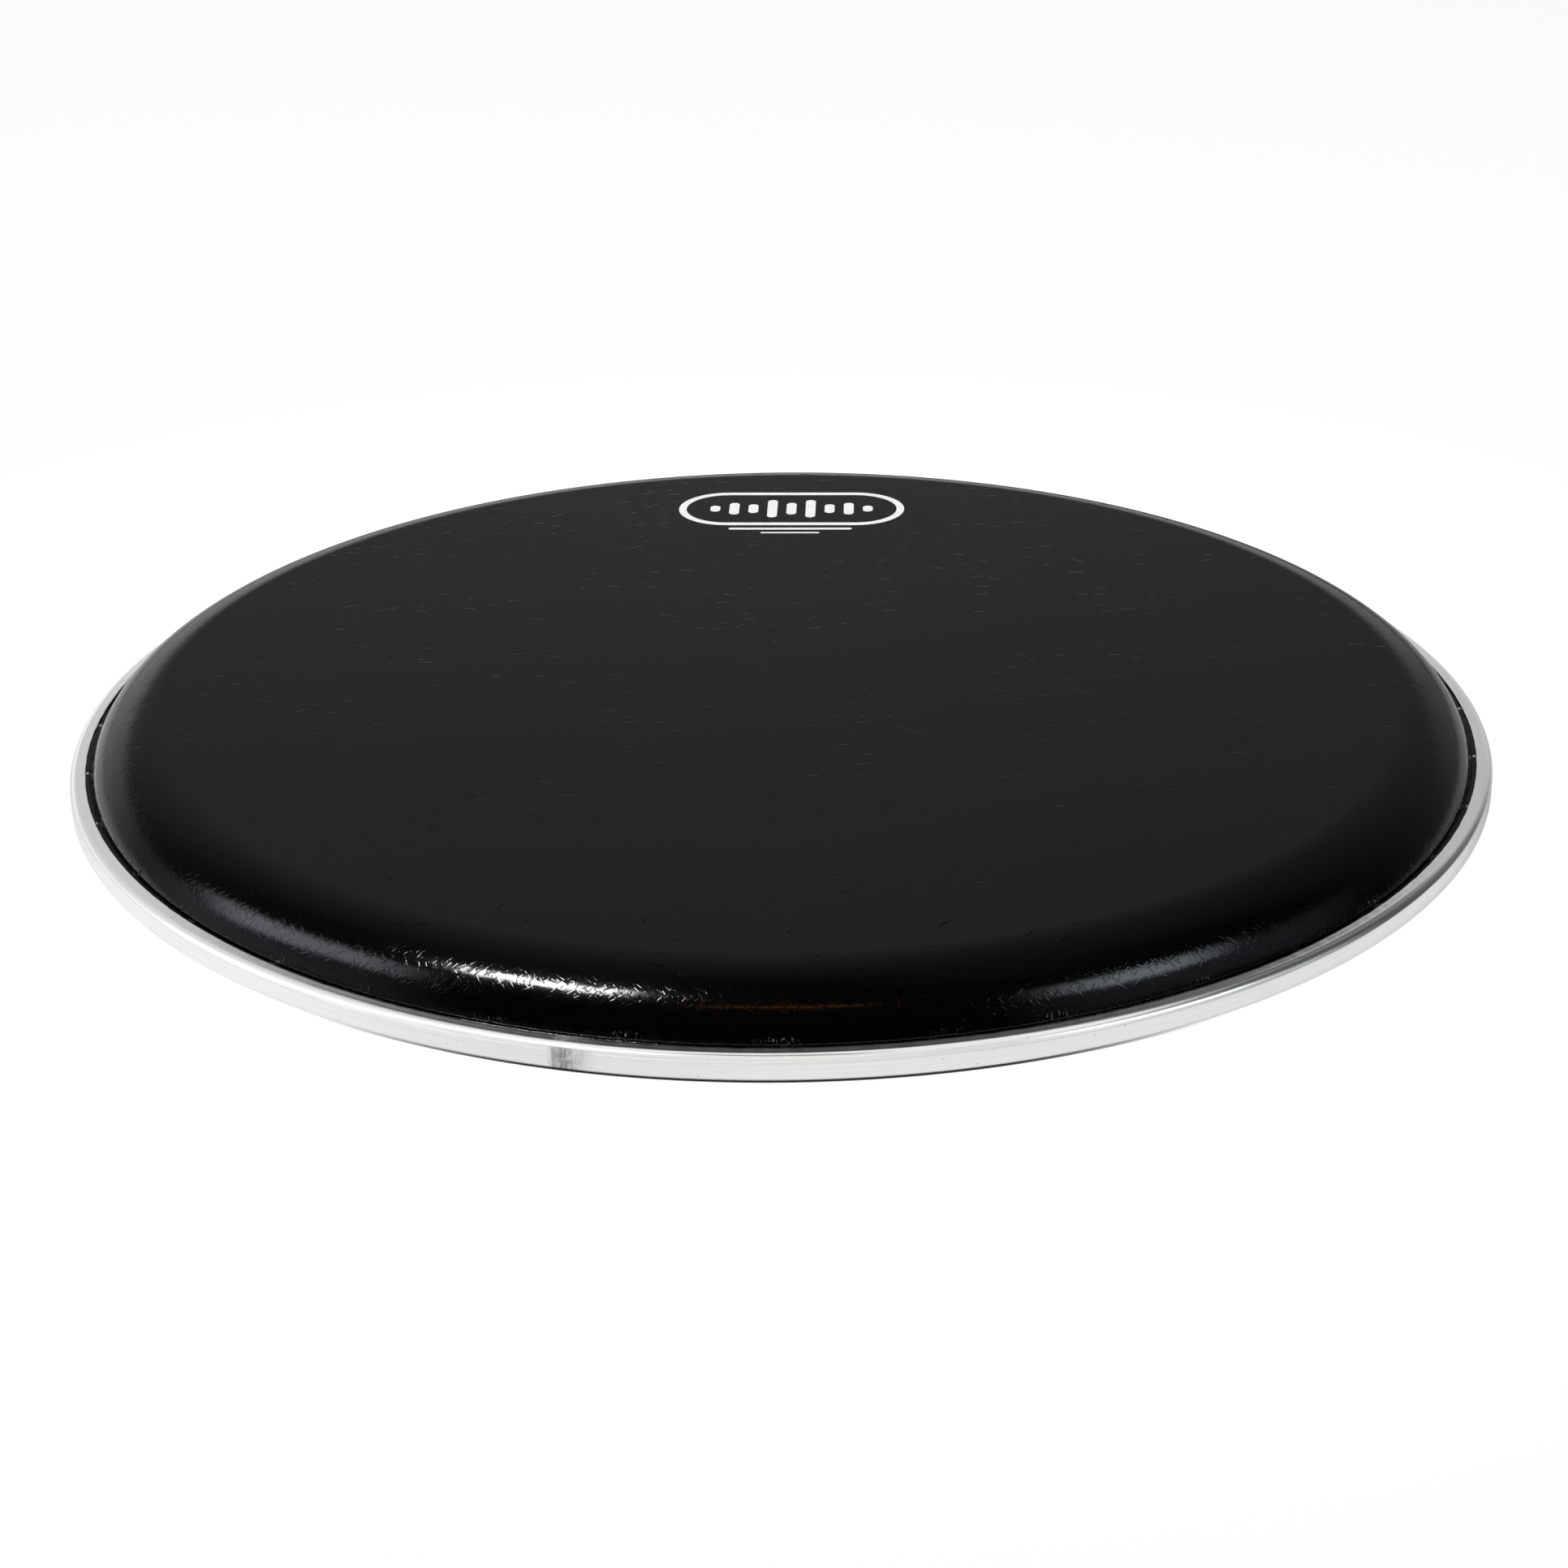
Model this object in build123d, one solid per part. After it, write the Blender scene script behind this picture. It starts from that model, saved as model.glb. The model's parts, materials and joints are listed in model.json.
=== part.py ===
"""A 16-inch crimped-hoop bass drumhead, in millimetres.

The head lies on its hoop with the playing side up. +Z runs along the drum's axis, out of the playing side.
The origin is on that axis, in the plane of the hoop's underside. +Y points at the printed mark.

The hoop is an aluminium strip bent into a channel, with its outer edge rolled in over the top as a lip.
The film's edge is wrapped round an insert ring inside the channel, and the lip is crimped down on both.
A second, narrower ring of film is bonded under the edge of the playing area to damp it.
"""

import os
from math import degrees, radians, tan

from build123d import *

# The shell this head fits
SHELL_DIAMETER = 16 * 25.4
SHELL_CLEARANCE = 1.3

# Hoop channel: a strip bent to a section, rolled to a ring and welded
STRIP = 0.8
HOOP_INNER_RADIUS = SHELL_DIAMETER / 2 + SHELL_CLEARANCE
HOOP_WIDTH = 7.5
HOOP_OUTER_RADIUS = HOOP_INNER_RADIUS + HOOP_WIDTH
HOOP_HEIGHT = 7.3
LIP_WIDTH = 4.9
INNER_WALL_HEIGHT = 5.2
LIP_BEND = 2.6
BASE_BEND = 1.0
WELD_ANGLE = -103.6
WELD_WIDTH = 0.9

# Gap left between pieces that are pressed together
SLIP = 0.02

# Film: from the flat playing area it falls in a round shoulder, leans out, then stands upright in the channel
FILM = 0.25
FILM_TOP = 21.2
SHOULDER_RADIUS = 22.4
COLLAR_LEAN = 22.0
COLLAR_ROOT_HEIGHT = 6.3
COLLAR_ROOT_BEND = 4.0

# Inlay ring: a narrow ring of film under the shoulder, bonded along its inner edge
INLAY = 0.25
INLAY_REACH = 32.0
BOND = 0.08
BOND_WIDTH = 8.0

# The film's upright leaves room for the inlay between it and the channel's inner wall
COLLAR_ROOT_RADIUS = HOOP_INNER_RADIUS + STRIP + SLIP + INLAY + BOND + FILM

# Insert ring, wrapped by the film's flange and filling the channel's height
INSERT_WIDTH = 4.4
INSERT_BOTTOM = STRIP + SLIP + FILM + SLIP
INSERT_HEIGHT = HOOP_HEIGHT - 2 * INSERT_BOTTOM
INSERT_CORNER = 0.9
INSERT_GAP = 0.6
INSERT_GAP_ANGLE = WELD_ANGLE + 180

# Relief notches that let the flange turn round the insert ring
NOTCHES = 36
NOTCH_WIDTH = 3.0
FIRST_NOTCH_ANGLE = 2.0
FLANGE_WIDTH = 4.4

# Printed mark: an outlined lozenge round a row of bars, over two plain rules given as (length, width, drop)
INK = 0.05
MARK_CENTRE_Y = 149.0
MARK_LENGTH = 78.0
MARK_HEIGHT = 34.0
MARK_STROKE = 2.6
BAR_WIDTH = 3.4
BAR_PITCH = 6.6
BAR_HEIGHTS = (6.0, 12.0, 9.0, 18.0, 12.0, 18.0, 9.0, 12.0, 6.0)
RULES = ((42.0, 1.8, 20.6), (20.0, 1.2, 24.6))


def bent_strip(corners, bends, thickness):
    """The section of a strip, from its centreline's corners and the radius each corner between is bent to."""
    path = FilletPolyline(*corners, radius=bends).wire()
    outline = path.offset_2d(thickness / 2, kind=Kind.ARC, side=Side.BOTH)
    return make_face(outline.edges())


def block_past(end, inward, thickness):
    """A block just past the end of a strip's centreline, which trims the strip's round end flat."""
    direction = (Vector(*end) - Vector(*inward)).normalized()
    centre = Vector(*end) + direction * thickness / 2
    angle = Vector(1, 0).get_signed_angle(direction)
    return Pos(centre.X, centre.Y) * Rot(0, 0, angle) * Rectangle(thickness, 2 * thickness)


def flat_ended(section, corners, thickness):
    """A strip's section with both of its round ends trimmed flat."""
    start = block_past(corners[0], corners[1], thickness)
    end = block_past(corners[-1], corners[-2], thickness)
    return section - start - end


def ring(section, start_angle=0.0, arc=360.0):
    """The solid a section in (radius, height) sweeps round the drum's axis from an angle, in degrees."""
    return Rot(0, 0, start_angle) * revolve(Plane.XZ * section, Axis.Z, arc)


def angle_across(width, radius):
    """The angle in degrees that a width takes up at a radius."""
    return degrees(width / radius)


def channel_section():
    """The hoop's section, from the end of the lip round to the top of the inner wall, with rounded edges."""
    half = STRIP / 2
    inner = HOOP_INNER_RADIUS + half
    outer = HOOP_OUTER_RADIUS - half
    top = HOOP_HEIGHT - half
    lip_end = HOOP_OUTER_RADIUS - LIP_WIDTH + half
    inner_wall_end = INNER_WALL_HEIGHT - half
    corners = [(lip_end, top), (outer, top), (outer, half), (inner, half), (inner, inner_wall_end)]
    bends = [LIP_BEND - half, BASE_BEND - half, BASE_BEND - half]
    return bent_strip(corners, bends, STRIP)


def hoop_channel():
    gap = angle_across(WELD_WIDTH, HOOP_OUTER_RADIUS)
    return ring(channel_section(), WELD_ANGLE + gap / 2, 360 - gap)


def hoop_weld():
    """The weld that joins the hoop's two ends, ground flush."""
    gap = angle_across(WELD_WIDTH, HOOP_OUTER_RADIUS)
    return ring(channel_section(), WELD_ANGLE - gap / 2, gap)


def collar_corners(drop):
    """Corners of the collar for a layer whose centreline lies a drop inside the film's outer face."""
    root = COLLAR_ROOT_RADIUS - drop
    top = FILM_TOP - drop
    shoulder = root - (top - COLLAR_ROOT_HEIGHT) * tan(radians(COLLAR_LEAN))
    return [(shoulder, top), (root, COLLAR_ROOT_HEIGHT)]


def film_section():
    """The film from the axis, over the shoulder, down into the channel and round the insert ring."""
    half = FILM / 2
    outside = COLLAR_ROOT_RADIUS + SLIP + INSERT_WIDTH + SLIP + half
    under = INSERT_BOTTOM - SLIP - half
    over = INSERT_BOTTOM + INSERT_HEIGHT + SLIP + half
    shoulder, root = collar_corners(half)
    corners = [
        (0, FILM_TOP - half),
        shoulder,
        root,
        (root[0], under),
        (outside, under),
        (outside, over),
        (outside + half - FLANGE_WIDTH, over),
    ]
    wrap = INSERT_CORNER + half
    bends = [SHOULDER_RADIUS - half, COLLAR_ROOT_BEND - half, wrap, wrap, wrap]
    return flat_ended(bent_strip(corners, bends, FILM), corners, FILM)


def relief_notches():
    """The cutters for the notches, which leave the flange as a ring of tabs outside and over the insert ring."""
    inner = COLLAR_ROOT_RADIUS + SLIP
    outer = HOOP_OUTER_RADIUS
    section = Pos(inner, INSERT_BOTTOM) * Rectangle(outer - inner, HOOP_HEIGHT, align=Align.MIN)
    arc = angle_across(NOTCH_WIDTH, outer)
    pitch = 360 / NOTCHES
    return [ring(section, FIRST_NOTCH_ANGLE + pitch * i - arc / 2, arc) for i in range(NOTCHES)]


def playing_film():
    return ring(film_section()) - relief_notches()


def inlay_ring():
    """The damping ring, from its bonded inner edge, under the film's shoulder and down into the channel."""
    drop = FILM + BOND + INLAY / 2
    shoulder, root = collar_corners(drop)
    inner_edge = (SHELL_DIAMETER / 2 - INLAY_REACH, shoulder[1])
    corners = [inner_edge, shoulder, root, (root[0], INSERT_BOTTOM)]
    bends = [SHOULDER_RADIUS - drop, COLLAR_ROOT_BEND - drop]
    return ring(flat_ended(bent_strip(corners, bends, INLAY), corners, INLAY))


def inlay_adhesive():
    """The bond line between the film and the inlay ring's inner edge."""
    inner = SHELL_DIAMETER / 2 - INLAY_REACH
    section = Pos(inner, FILM_TOP - FILM - BOND) * Rectangle(BOND_WIDTH, BOND, align=Align.MIN)
    return ring(section)


def insert_ring():
    """A rolled strip that lies inside the film's fold, with its ends butted across from the hoop's weld."""
    gap = angle_across(INSERT_GAP, COLLAR_ROOT_RADIUS)
    section = RectangleRounded(INSERT_WIDTH, INSERT_HEIGHT, INSERT_CORNER)
    centre = Pos(COLLAR_ROOT_RADIUS + SLIP + INSERT_WIDTH / 2, INSERT_BOTTOM + INSERT_HEIGHT / 2)
    return ring(centre * section, INSERT_GAP_ANGLE + gap / 2, 360 - gap)


def printed_mark():
    """The ink on the playing face, each stroke a thin separate solid."""
    outer = SlotOverall(MARK_LENGTH, MARK_HEIGHT)
    inner = SlotOverall(MARK_LENGTH - 2 * MARK_STROKE, MARK_HEIGHT - 2 * MARK_STROKE)
    strokes = [outer - inner]
    middle = (len(BAR_HEIGHTS) - 1) / 2
    for i, height in enumerate(BAR_HEIGHTS):
        strokes.append(Pos((i - middle) * BAR_PITCH, 0) * SlotOverall(height, BAR_WIDTH, rotation=90))
    for length, width, drop in RULES:
        strokes.append(Pos(0, -drop) * SlotOverall(length, width))
    place = Pos(0, MARK_CENTRE_Y, FILM_TOP)
    return Compound([place * extrude(stroke, INK).solid() for stroke in strokes])


def main():
    os.makedirs("parts", exist_ok=True)
    nodes = {
        "playing_film": playing_film(),
        "inlay_ring": inlay_ring(),
        "inlay_adhesive": inlay_adhesive(),
        "hoop_channel": hoop_channel(),
        "hoop_weld": hoop_weld(),
        "insert_ring": insert_ring(),
        "printed_mark": printed_mark(),
    }
    for name, shape in nodes.items():
        export_step(shape, f"parts/{name}.step")


main()
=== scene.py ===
"""Looks for a 16-inch crimped-hoop bass drumhead: its film, hoop and printed mark, built round the
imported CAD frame.

Lengths are in millimetres until a mesh is made. A profile is a list of (radius, height) points about
the drum's axis. The camera's azimuth is turned slightly from the row's +Y, because the mark isn't
quite at the back of the head.
"""

import json
import math

import bpy
import numpy as np
from mathutils import Matrix, Vector


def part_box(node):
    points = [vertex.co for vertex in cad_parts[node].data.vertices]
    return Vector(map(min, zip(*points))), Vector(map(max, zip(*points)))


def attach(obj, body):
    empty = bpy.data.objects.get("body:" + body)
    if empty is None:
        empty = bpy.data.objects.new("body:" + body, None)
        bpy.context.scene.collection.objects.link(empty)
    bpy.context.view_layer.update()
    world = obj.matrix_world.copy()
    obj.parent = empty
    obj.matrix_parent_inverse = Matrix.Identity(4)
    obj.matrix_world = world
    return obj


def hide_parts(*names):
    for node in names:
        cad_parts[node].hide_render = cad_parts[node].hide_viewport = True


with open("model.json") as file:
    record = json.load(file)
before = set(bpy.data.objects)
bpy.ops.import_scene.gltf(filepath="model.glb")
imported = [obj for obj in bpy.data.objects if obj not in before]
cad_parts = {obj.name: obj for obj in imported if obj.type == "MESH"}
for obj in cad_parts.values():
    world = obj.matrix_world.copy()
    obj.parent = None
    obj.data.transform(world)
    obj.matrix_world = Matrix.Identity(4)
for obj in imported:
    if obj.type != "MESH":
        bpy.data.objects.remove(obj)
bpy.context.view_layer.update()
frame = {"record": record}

MM = 0.001
TAU = 2 * math.pi

# ---------------- sizes from the frame
mount_dims = {m["name"]: m["dims"] for m in frame["record"]["mounts"]}
HOOP_OUTER = mount_dims["counterhoop_rim"]["r_mm"]
HOOP_INNER = mount_dims["shell_bore"]["r_mm"]
HOOP_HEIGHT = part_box("hoop_channel")[1].z / MM
FILM_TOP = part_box("playing_film")[1].z / MM
INSERT_LOW, INSERT_HIGH = (corner.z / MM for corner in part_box("insert_ring"))
MARK_LOW, MARK_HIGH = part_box("printed_mark")

# Stock and section sizes that the box of a node doesn't give
STRIP = 0.8
LIP_WIDTH = 4.9
INNER_WALL_HEIGHT = 5.2
LIP_BEND = 2.6
BASE_BEND = 1.0
LIP_FALL = 0.21
WELD_ANGLE = math.radians(-103.6)
WELD_WIDTH = 0.9
FILM = 0.25
SHOULDER_RADIUS = 22.4
COLLAR_LEAN = math.radians(22)
COLLAR_ROOT_HEIGHT = 6.3
COLLAR_ROOT_BEND = 4.0
SLIP = 0.02
INLAY = 0.25
BOND = 0.08
BOND_WIDTH = 8.0
INLAY_INNER = 171.2
COLLAR_ROOT = HOOP_INNER + STRIP + SLIP + INLAY + BOND + FILM
SHOULDER_CENTRE = (COLLAR_ROOT - (FILM_TOP - COLLAR_ROOT_HEIGHT) * math.tan(COLLAR_LEAN)
                   - SHOULDER_RADIUS * math.tan((math.pi / 2 - COLLAR_LEAN) / 2))
INSERT_WIDTH = 4.4
INSERT_CORNER = 0.9
INSERT_GAP = 0.6
FLANGE_WIDTH = 4.4
NOTCHES = 36
NOTCH_WIDTH = 3.0
FIRST_NOTCH = math.radians(2)

# The film's mesh: how many columns go round it, and where the rings of its flat middle begin
COLUMNS = 2880
FLAT_EDGE = 174.0
RING_SPACING = 6.0
FEWEST_COLUMNS = 45
LAST_RING = 6.0

# The creases pressed into the shoulder: how many, and the part of the profile's length they lie in
CREASES = 2200
CREASE_FROM = 12.0
CREASE_TO = 33.0
SHOULDER_GIRTH = TAU * 200

# The pleats in the collar's foot: the first cluster's angle in degrees, and the heights they lie between
FIRST_PLEAT = -88
PLEAT_FROM = 6.4
PLEAT_TO = 11.5
PLEAT_RISE = 0.05
FOOT_GIRTH = TAU * 206

# The printed mark: its outline's stroke, its bars, and its rules as (length, width, drop)
MARK_STROKE = 2.6
BAR_WIDTH = 3.4
BAR_PITCH = 6.6
BAR_HEIGHTS = (6.0, 12.0, 9.0, 18.0, 12.0, 18.0, 9.0, 12.0, 6.0)
LOZENGE_HEIGHT = 34.0
RULES = ((42.0, 1.8, 20.6), (20.0, 1.2, 24.6))

# The view's azimuth from the row's +Y, and the angles to either side of the front, in degrees, where
# # the painted contact shadow under the hoop is whole and has gone
VIEW_TURN = math.radians(1.8)
CONTACT_SHADOW_FULL = 15
CONTACT_SHADOW_GONE = 35


# ---------------- profiles
def bent_path(corners, bends, step):
    """Points and left-hand normals along a polyline whose inner corners are rounded to the bends.
    step gives the point spacing of each straight and each bend, in the order they come."""
    corners = [np.array(c, float) for c in corners]
    points, normals = [], []

    def straight(a, b, spacing):
        direction = (b - a) / np.linalg.norm(b - a)
        count = max(1, round(np.linalg.norm(b - a) / spacing))
        for i in range(count):
            points.append(a + (b - a) * i / count)
            normals.append(np.array([-direction[1], direction[0]]))

    start = corners[0]
    spacings = iter(step)
    for i in range(1, len(corners) - 1):
        before = corners[i] - corners[i - 1]
        after = corners[i + 1] - corners[i]
        before /= np.linalg.norm(before)
        after /= np.linalg.norm(after)
        turn = math.atan2(before[0] * after[1] - before[1] * after[0], before @ after)
        radius = bends[i - 1]
        tangent = radius * math.tan(abs(turn) / 2)
        straight(start, corners[i] - before * tangent, next(spacings))
        side = math.copysign(1, turn)
        normal = np.array([-before[1], before[0]])
        centre = corners[i] - before * tangent + normal * side * radius
        count = max(3, round(abs(turn) * radius / next(spacings)))
        for k in range(count):
            angle = turn * k / count
            cos, sin = math.cos(angle), math.sin(angle)
            turned = np.array([normal[0] * cos - normal[1] * sin, normal[0] * sin + normal[1] * cos])
            points.append(centre - turned * side * radius)
            normals.append(turned)
        start = corners[i] + after * tangent
    straight(start, corners[-1], next(spacings))
    points.append(corners[-1])
    normals.append(normals[-1])
    return np.array(points), np.array(normals)


def strip_outline(points, normals, thickness, end_points=5):
    """The closed outline of a strip of a thickness along a path, with round ends."""
    half = thickness / 2
    left = points + normals * half
    right = points - normals * half

    def round_end(centre, normal, sign):
        along = np.array([normal[1], -normal[0]]) * sign
        angles = [math.pi * k / (end_points + 1) for k in range(1, end_points + 1)]
        return [centre + (normal * math.cos(a) * sign + along * math.sin(a)) * half for a in angles]

    outline = list(left) + round_end(points[-1], normals[-1], 1)
    outline += list(right[::-1]) + round_end(points[0], normals[0], -1)
    return np.array(outline)


def rounded_box(centre, width, height, radius, corner_points=5):
    """The outline of a rounded rectangle, counter-clockwise."""
    outline = []
    for quarter, (sx, sz) in enumerate([(1, 1), (-1, 1), (-1, -1), (1, -1)]):
        x = centre[0] + sx * (width / 2 - radius)
        z = centre[1] + sz * (height / 2 - radius)
        for k in range(corner_points + 1):
            angle = (quarter + k / corner_points) * math.pi / 2
            outline.append((x + radius * math.cos(angle), z + radius * math.sin(angle)))
    return np.array(outline)


# ---------------- meshes
def around(radius, height, angles):
    """Points in metres at each radius and height (last axis broadcast) and each angle."""
    return np.stack([radius * np.cos(angles), radius * np.sin(angles), height + 0 * angles], -1) * MM


def new_piece(name, vertices, faces, material, sharp_angle=35.0):
    """A mesh piece on the root body, shaded smooth except at its sharp edges."""
    mesh = bpy.data.meshes.new(name)
    mesh.from_pydata(vertices.tolist() if hasattr(vertices, "tolist") else vertices, [], faces)
    mesh.validate()
    mesh.shade_smooth()
    mesh.set_sharp_from_angle(angle=math.radians(sharp_angle))
    piece = bpy.data.objects.new(name, mesh)
    bpy.context.scene.collection.objects.link(piece)
    mesh.materials.append(material)
    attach(piece, "root")
    return piece


def revolved(outline, columns, start=0.0, arc=TAU, wobble=None):
    """Vertices and faces of a closed outline turned about the drum's axis, capped if not a full turn."""
    full = arc >= TAU - 1e-9
    count = columns if full else columns + 1
    angles = start + arc * np.arange(count) / columns
    radius = outline[:, 0][:, None] + 0 * angles
    height = outline[:, 1][:, None] + 0 * angles
    if wobble is not None:
        shift_r, shift_z = wobble(radius, height, angles)
        radius = radius + shift_r
        height = height + shift_z
    vertices = around(radius, height, angles).reshape(-1, 3)
    n = len(outline)
    i, j = np.meshgrid(np.arange(n), np.arange(columns), indexing="ij")
    i, j = i.ravel(), j.ravel()
    up, along = (i + 1) % n, (j + 1) % count
    quads = np.stack([i * count + j, i * count + along, up * count + along, up * count + j], -1)
    faces = quads.tolist()
    if not full:
        faces.append([k * count for k in range(n)])
        faces.append([k * count + columns for k in reversed(range(n))])
    return vertices, faces


def counter_clockwise(outline):
    """The outline, turned round if it runs clockwise."""
    x, z = outline[:, 0], outline[:, 1]
    area = np.sum(x * np.roll(z, -1) - np.roll(x, -1) * z)
    return outline if area > 0 else outline[::-1]


def sheet(points, normals, thickness, columns, shift, present, skip_inner_wall):
    """A sheet of a thickness whose middle line is turned about the drum's axis.
    shift moves each point along its normal, present says which cells exist, and open edges get walls."""
    angles = TAU * np.arange(columns) / columns
    layers = []
    for side in (0.5, -0.5):
        out = side * thickness + shift
        radius = points[:, 0][:, None] + normals[:, 0][:, None] * out
        height = points[:, 1][:, None] + normals[:, 1][:, None] * out
        layers.append(around(radius, height, angles).reshape(-1, 3))
    vertices = np.concatenate(layers)
    rows = len(points)
    under = rows * columns
    s, j = np.nonzero(present)
    following = (j + 1) % columns
    a, b = s * columns + j, (s + 1) * columns + j
    c, d = (s + 1) * columns + following, s * columns + following
    quads = [np.stack([a, b, c, d], -1), np.stack([a, d, c, b], -1) + under]
    padded = np.zeros((rows + 1, columns), bool)
    padded[1:rows] = present
    after = ~padded[s + 2, j]
    before = ~padded[s, j] & ~((s == 0) & skip_inner_wall)
    left = ~present[s, (j - 1) % columns]
    right = ~present[s, following]
    quads.append(np.stack([b, b + under, c + under, c], -1)[after])
    quads.append(np.stack([a, d, d + under, a + under], -1)[before])
    quads.append(np.stack([c, c + under, d + under, d], -1)[right])
    quads.append(np.stack([a, a + under, b + under, b], -1)[left])
    return vertices, np.concatenate(quads).tolist()


def without_loose(vertices, faces):
    """The same mesh without the vertices that no face uses, and which vertices were kept."""
    used = np.zeros(len(vertices), bool)
    for face in faces:
        used[face] = True
    renumber = np.cumsum(used) - 1
    return vertices[used], [[int(renumber[v]) for v in face] for face in faces], used


def disc_rings(outer_radius, columns, height, first_index, flip):
    """Vertices and faces that fill a circle of vertices, halving the columns as the rings get shorter.
    A new vertex is written ("new", index) in the faces until its place in the mesh is known."""
    vertices, faces = [], []
    ring = [first_index + k for k in range(columns)]
    next_index = 0
    radius = outer_radius
    while True:
        spacing = TAU * radius / len(ring)
        halve = spacing < RING_SPACING and len(ring) % 2 == 0 and len(ring) > FEWEST_COLUMNS
        radius = radius - max(1.2 * spacing, 0.6)
        if radius < LAST_RING:
            break
        count = len(ring) // 2 if halve else len(ring)
        angles = TAU * np.arange(count) / count
        vertices.append(around(np.full(count, radius), np.full(count, height), angles))
        inner = [("new", next_index + k) for k in range(count)]
        next_index += count
        for k in range(count):
            p, q = inner[k], inner[(k + 1) % count]
            if halve:
                first, second, third = ring[2 * k], ring[2 * k + 1], ring[(2 * k + 2) % len(ring)]
                faces += [[p, first, second], [p, second, q], [q, second, third]]
            else:
                faces.append([p, ring[k], ring[(k + 1) % count], q])
        ring = inner
    faces.append(list(ring))
    if flip:
        faces = [face[::-1] for face in faces]
    return np.concatenate(vertices), faces


# ---------------- material nodes
class Nodes:
    """A short way to write a node tree: each call adds one node and returns the output wanted."""

    def __init__(self, tree):
        self.tree = tree
        tree.nodes.clear()

    def add(self, kind, settings=None, inputs=None, output=0):
        node = self.tree.nodes.new(kind)
        for key, value in (settings or {}).items():
            setattr(node, key, value)
        for key, value in (inputs or {}).items():
            socket = node.inputs[key]
            if isinstance(value, bpy.types.NodeSocket):
                self.tree.links.new(value, socket)
            else:
                socket.default_value = value
        return node.outputs[output] if len(node.outputs) else None

    def math(self, operation, a, b=0.0, c=0.0):
        return self.add("ShaderNodeMath", {"operation": operation}, {0: a, 1: b, 2: c})

    def times(self, a, b):
        return self.math("MULTIPLY", a, b)

    def from_axis(self, x, y):
        """The distance from the drum's axis."""
        return self.math("SQRT", self.math("ADD", self.math("POWER", x, 2.0), self.math("POWER", y, 2.0)))

    def ramp(self, value, low, high, out_low=0.0, out_high=1.0):
        """A smooth step from out_low, where the value is low, to out_high, where it's high."""
        kind = {"interpolation_type": "SMOOTHSTEP", "clamp": True}
        inputs = {0: value, 1: low, 2: high, 3: out_low, 4: out_high}
        return self.add("ShaderNodeMapRange", kind, inputs)

    def vector(self, x, y, z):
        return self.add("ShaderNodeCombineXYZ", None, {0: x, 1: y, 2: z})

    def split(self, vector):
        node = self.tree.nodes.new("ShaderNodeSeparateXYZ")
        self.tree.links.new(vector, node.inputs[0])
        return node.outputs[0], node.outputs[1], node.outputs[2]

    def noise(self, vector, scale, detail=2.0, roughness=0.5):
        return self.add("ShaderNodeTexNoise", None,
                        {"Vector": vector, "Scale": scale, "Detail": detail, "Roughness": roughness})

    def mix_colour(self, factor, a, b):
        node = self.tree.nodes.new("ShaderNodeMix")
        node.data_type = "RGBA"
        for socket, value in ((0, factor), (6, a), (7, b)):
            if isinstance(value, bpy.types.NodeSocket):
                self.tree.links.new(value, node.inputs[socket])
            else:
                node.inputs[socket].default_value = value
        return node.outputs[2]

    def bump(self, height, distance, normal=None):
        inputs = {"Height": height, "Distance": distance, "Strength": 1.0}
        if normal is not None:
            inputs["Normal"] = normal
        return self.add("ShaderNodeBump", None, inputs)

    def millimetres(self):
        """The point on the object, in millimetres."""
        place = self.add("ShaderNodeTexCoord", None, None, 3)
        return self.add("ShaderNodeVectorMath", {"operation": "SCALE"}, {0: place, "Scale": 1 / MM})

    def surface(self, **inputs):
        shader = self.add("ShaderNodeBsdfPrincipled", None, inputs)
        self.add("ShaderNodeOutputMaterial", None, {"Surface": shader})


def new_material(name):
    material = bpy.data.materials.new(name)
    material.use_nodes = True
    return material, Nodes(material.node_tree)


def grey(value):
    return (value, value, value, 1.0)


def nicks(n, place, cell, length, width, keep, seed, lean=0.0, spread=1.1):
    """Scattered short strokes: 1 on a stroke, 0 off it. A cell has one at most, turned by up to spread
    either side of the lean. seed shifts the pattern, and keep is the share of cells with a stroke."""
    x, y, _ = n.split(place)
    flat = n.vector(n.math("ADD", x, seed), y, 0.0)
    cells = n.tree.nodes.new("ShaderNodeTexVoronoi")
    cells.voronoi_dimensions = "2D"
    n.tree.links.new(flat, cells.inputs["Vector"])
    cells.inputs["Scale"].default_value = 1 / cell
    inputs = {0: flat, 1: cells.outputs["Position"]}
    offset = n.add("ShaderNodeVectorMath", {"operation": "SUBTRACT"}, inputs)
    random_a, random_b, random_c = n.split(cells.outputs["Color"])
    angle = n.math("MULTIPLY_ADD", random_a, 2 * spread, -lean - spread)
    turned = n.add("ShaderNodeVectorRotate", {"rotation_type": "Z_AXIS"}, {"Vector": offset, "Angle": angle})
    along, across, _ = n.split(turned)
    reach = n.times(random_b, length / 2)
    past_end = n.math("MAXIMUM", n.math("SUBTRACT", n.math("ABSOLUTE", along), reach), 0.0)
    distance = n.math("SQRT", n.math("ADD", n.math("POWER", past_end, 2.0), n.math("POWER", across, 2.0)))
    stroke = n.ramp(distance, width, 0.0)
    return n.times(stroke, n.math("LESS_THAN", random_c, keep))


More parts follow.
